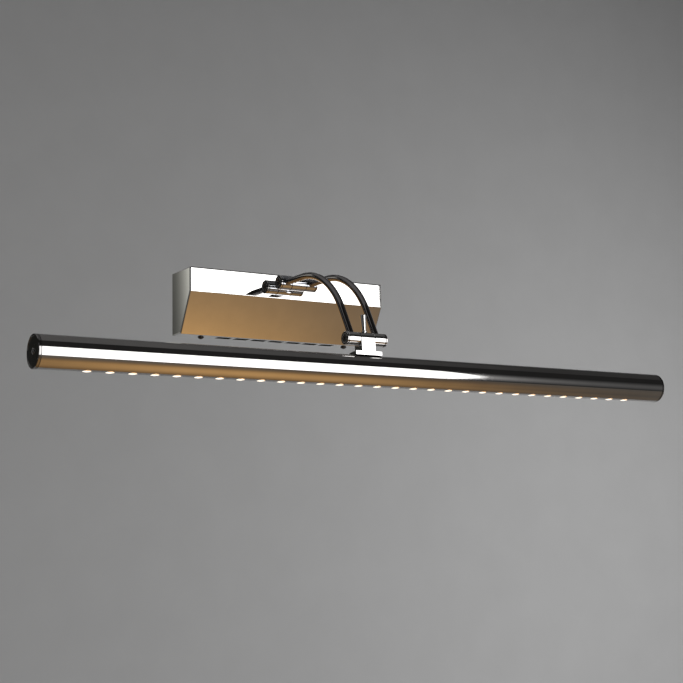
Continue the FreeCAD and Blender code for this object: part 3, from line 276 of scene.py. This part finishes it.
LOOKS = {
    BOX_CHROME: ["cover"],
    TUBE_CHROME: ["lamp_tube"],
    ARM_CHROME: ["arm_left", "arm_right"],
    WALL_BARREL_CHROME: ["wall_sleeve_left", "wall_sleeve_right", "wall_hub"],
    BARREL_CHROME: ["front_sleeve_left", "front_sleeve_right", "lamp_bracket", "locking_pin"],
    DISC_CHROME: ["wall_end_screws", "front_end_screws"],
    CAP_CHROME: ["end_cap_left", "end_cap_right", "end_cap_screws"],
    ZINC: ["wall_plate", "stiffener_plate", "wall_axle", "front_axle"],
    SCREW: [
        "driver_screws", "terminal_fixing_screw", "earth_screw", "earth_tag",
        "post_washer", "post_nut", "bracket_screws", "board_screws",
    ],
    SCREW_BLACK: ["cover_screws"],
    BRASS: ["terminal_screws"],
    RUBBER: ["cable_grommet"],
    NYLON: ["wall_friction_washers", "front_friction_washers"],
    CASE_WHITE: ["led_driver"],
    TERMINAL: ["terminal_block"],
    LEAD: ["mains_leads", "output_lead", "arm_leads", "head_lead"],
    EARTH: ["earth_lead"],
    ALUMINIUM: ["carrier_rail"],
    BOARD: ["led_board"],
    CHIP: ["led_chips"],
    LENS: ["led_lenses"],
}
for look, names in LOOKS.items():
    for name in names:
        node = NODES[name]
        for place in node.material_slots:
            place.material = look


# ---------------------------------------------------------------- studio
def stage_mesh(name, points, material, faces=None):
    mesh = bpy.data.meshes.new(name)
    mesh.from_pydata([Vector(p) for p in points], [], faces or [list(range(len(points)))])
    mesh.materials.append(material)
    obj = bpy.data.objects.new(name, mesh)
    scene.collection.objects.link(obj)
    return obj


def glow(name, colour, strength):
    """A card's material, which only glows."""
    m = Nodes(name)
    m.shader.inputs["Base Color"].default_value = (0, 0, 0, 1)
    m.shader.inputs["Specular IOR Level"].default_value = 0
    m.shader.inputs["Emission Color"].default_value = (*colour, 1)
    m.shader.inputs["Emission Strength"].default_value = strength
    return m


def card(name, points, material, lights_room=True):
    """A studio card that only reflections see, and the room too if it lights it."""
    obj = stage_mesh(name, points, material)
    obj.visible_camera = False
    obj.visible_shadow = False
    obj.visible_diffuse = lights_room
    return obj


def make_softbox():
    """The key light: a tall softbox to the front right."""
    middle = Vector((0.55, -1.15, 0))
    along = Vector((0.9, 0.43, 0)).normalized()
    rim = [
        (-0.62, 0.60), (0.17, 0.435), (0.215, 0.405), (0.238, 0.34), (0.243, 0.10),
        (0.252, -0.25), (0.262, -0.50), (0.264, -0.62), (0.245, -0.67), (-0.62, -0.67),
    ]
    points = [middle + along * across + Vector((0, 0, up)) for across, up in rim]
    card("softbox", points, glow("softbox_look", (1.0, 0.99, 0.975), 2.8).material)
    m = glow("softbox_glow_look", (1.0, 0.99, 0.98), 1.0)
    x, y, z = m.split(m.place((1, 1, 1), (-middle.x, -middle.y, 0)))[:3]
    across = m.maths("MULTIPLY_ADD", x, along.x, m.maths("MULTIPLY", y, along.y))
    near = m.maths("EXPONENT", m.maths("MULTIPLY", m.maths("SUBTRACT", across, 0.25), -14.0))
    level = m.maths("MULTIPLY_ADD", near, 0.30, 0.10)
    off = m.maths("DIVIDE", m.maths("ADD", z, 0.09), 0.22)
    fall = m.maths("EXPONENT", m.maths("MULTIPLY", m.maths("MULTIPLY", off, off), -0.5))
    m.feed(m.shader.inputs["Emission Strength"], m.maths("MULTIPLY_ADD", level, fall, 0.012))
    rim = [(0.245, -0.55), (0.95, -0.55), (0.95, 0.45), (0.245, 0.45)]
    points = [middle + along * across + Vector((0, 0, up)) for across, up in rim]
    card("softbox_glow", points, m.material)


def make_warm_board():
    """A board below the lamp, warm where the lamp's light falls on it."""
    m = glow("warm_board_look", (1, 1, 1), 1.0)
    x, y = m.split(m.place())[:2]
    forward = m.maths("ADD", y, 0.215)
    spread = m.maths("MULTIPLY_ADD", m.maths("ABSOLUTE", forward), 0.4, 0.193)
    off = m.maths("DIVIDE", m.maths("SUBTRACT", x, 0.03), spread)
    across = m.maths("EXPONENT", m.maths("MULTIPLY", m.maths("MULTIPLY", off, off), -0.5))
    back = m.maths("DIVIDE", forward, 0.245)
    along = m.maths("POWER", m.maths("MULTIPLY_ADD", back, back, 1.0), -1.5)
    plain = m.blend(m.ranged(x, 0.15, 0.65), (0.032, 0.028, 0.024), (0.120, 0.108, 0.094))
    share = m.maths("MULTIPLY", across, along)
    pool = m.blend(share, plain, (0.72, 0.415, 0.165))
    near = m.maths("MULTIPLY", m.ranged(y, -0.33, -0.60), m.ranged(x, 0.05, 0.40, 1.0, 0.0))
    m.feed(m.shader.inputs["Emission Color"], m.blend(near, pool, (0.185, 0.155, 0.125)))
    corners = [(-0.75, -0.70, -0.375), (0.95, -0.70, -0.375), (0.95, 0.10, -0.375), (-0.75, 0.10, -0.375)]
    card("warm_board", corners, m.material)


def make_ceiling_card():
    """A dim card overhead, brighter over the lamp's left half."""
    m = glow("ceiling_look", (1.0, 0.98, 0.965), 1.0)
    x = m.split(m.place())[0]
    left = m.ranged(x, -0.15, 0.24, 0.14, 0.0)
    right = m.ranged(x, 0.5, 1.5, 0.115, 0.045)
    m.feed(m.shader.inputs["Emission Strength"], m.maths("ADD", left, right))
    corners = [(-1.6, -0.74, 1.5), (2.4, -0.74, 1.5), (2.4, 1.4, 1.5), (-1.6, 1.4, 1.5)]
    card("ceiling_card", corners, m.material)


def make_cheek_card():
    """A card behind and to the left, which shades the box's left cheek."""
    m = glow("cheek_look", (1.0, 0.99, 0.90), 1.0)
    x, _, z = m.split(m.place())[:3]
    share = m.ranged(x, -0.565, -0.522, 1.0, 0.0)
    rise = m.maths("MULTIPLY_ADD", m.maths("MULTIPLY", share, share), 0.72, 0.06)
    fall = m.ranged(x, -0.645, -0.60, 0.0, 1.0)
    low = m.ranged(z, 0.09, 0.23, 0.62, 1.12)
    strength = m.maths("MULTIPLY_ADD", m.maths("MULTIPLY", rise, fall), low, 0.02)
    m.feed(m.shader.inputs["Emission Strength"], strength)
    corners = [(-1.3, 0.9, -0.4), (-0.45, 0.9, -0.4), (-0.45, 0.9, 0.7), (-1.3, 0.9, 0.7)]
    card("cheek_card", corners, m.material)


def make_surrounding_cards():
    """Softer cards all round, so that the plate has something to mirror from every side."""
    cards = {
        "left_card": (0.3, [(-1.7, -0.9, -0.9), (-1.7, 0.6, -0.9), (-1.7, 0.6, 0.9), (-1.7, -0.9, 0.9)]),
        "right_card": (0.8, [(1.7, -0.9, -0.9), (1.7, 0.9, -0.9), (1.7, 0.9, 0.9), (1.7, -0.9, 0.9)]),
        "rear_card": (1.0, [(-0.85, 2.2, -0.9), (0.45, 2.2, -0.9), (0.45, 2.2, 1.1), (-0.85, 2.2, 1.1)]),
    }
    for name, (level, points) in cards.items():
        m = glow(f"{name}_look", (1.0, 0.99, 0.98), 1.0)
        z = m.split(m.place())[2]
        m.feed(m.shader.inputs["Emission Strength"], m.ranged(z, -0.9, 0.9, 0.15 * level, 0.5 * level))
        card(name, points, m.material, lights_room=False)


def make_backdrop():
    """A pale sweep: floor, curve and back."""
    m = Nodes("sweep_look")
    grain = m.noise(m.place(), 6.0, 4.0, 0.55)
    pale, paler = (0.60, 0.60, 0.60), (0.62, 0.62, 0.62)
    m.feed(m.shader.inputs["Base Color"], m.blend(m.ranged(grain, 0.3, 0.7), paler, pale))
    m.shader.inputs["Roughness"].default_value = 0.95
    m.shader.inputs["Specular IOR Level"].default_value = 0.1
    floor, back, top, bend, bend_steps = -1.75, 3.2, 5.5, 1.1, 16
    front, half_width = -9.0, 9.0
    profile = [(front, floor), (back - bend, floor)]
    for step in range(1, bend_steps + 1):
        turn = math.pi / 2 * step / bend_steps
        profile.append((back - bend + bend * math.sin(turn), floor + bend - bend * math.cos(turn)))
    profile.append((back, top))
    points, faces = [], []
    for y, z in profile:
        points += [(-half_width, y, z), (half_width, y, z)]
    for n in range(len(profile) - 1):
        faces.append([2 * n, 2 * n + 1, 2 * n + 3, 2 * n + 2])
    sweep = stage_mesh("sweep", points, m.material, faces)
    for polygon in sweep.data.polygons:
        polygon.use_smooth = True


def area(name, place, aim, size, power):
    """A soft white light that reflections don't see."""
    data = bpy.data.lights.new(name, "AREA")
    data.shape = "RECTANGLE"
    data.size, data.size_y = size
    data.energy = power
    obj = bpy.data.objects.new(name, data)
    obj.location = place
    obj.rotation_mode = "QUATERNION"
    obj.rotation_quaternion = (Vector(aim) - Vector(place)).to_track_quat("-Z", "Y")
    obj.visible_glossy = False
    scene.collection.objects.link(obj)


def make_world():
    """Grey to the camera, dimmer to diffuse rays, and nearly dark in reflections."""
    world = bpy.data.worlds.new("studio")
    world.use_nodes = True
    tree = world.node_tree
    path = tree.nodes.new("ShaderNodeLightPath")
    sky = tree.nodes["Background"].inputs["Color"]
    diffuse, glossy = tree.nodes.new("ShaderNodeMix"), tree.nodes.new("ShaderNodeMix")
    for chosen in (diffuse, glossy):
        chosen.data_type = "RGBA"
    diffuse.inputs[6].default_value = (0.27, 0.27, 0.27, 1)
    diffuse.inputs[7].default_value = (0.058, 0.058, 0.059, 1)
    glossy.inputs[7].default_value = (0.022, 0.0215, 0.021, 1)
    tree.links.new(path.outputs["Is Diffuse Ray"], diffuse.inputs[0])
    tree.links.new(path.outputs["Is Glossy Ray"], glossy.inputs[0])
    tree.links.new(diffuse.outputs[2], glossy.inputs[6])
    tree.links.new(glossy.outputs[2], sky)
    scene.world = world


make_softbox()
make_warm_board()
make_ceiling_card()
make_cheek_card()
make_surrounding_cards()
make_backdrop()
area("back_light", (3.6, 0.9, 0.2), (2.4, 3.2, -0.5), (1.6, 1.6), 20.8)
area("low_back_light", (3.2, 0.6, -1.2), (2.6, 3.2, -0.6), (1.6, 1.6), 9.1)
area("front_floor_light", (0.0, -3.5, 3.0), (0.0, -3.5, -1.75), (5.0, 5.0), 95)
area("left_floor_light", (-4.5, 0.5, 3.0), (-4.5, 0.5, -1.75), (4.0, 5.0), 34)
make_world()
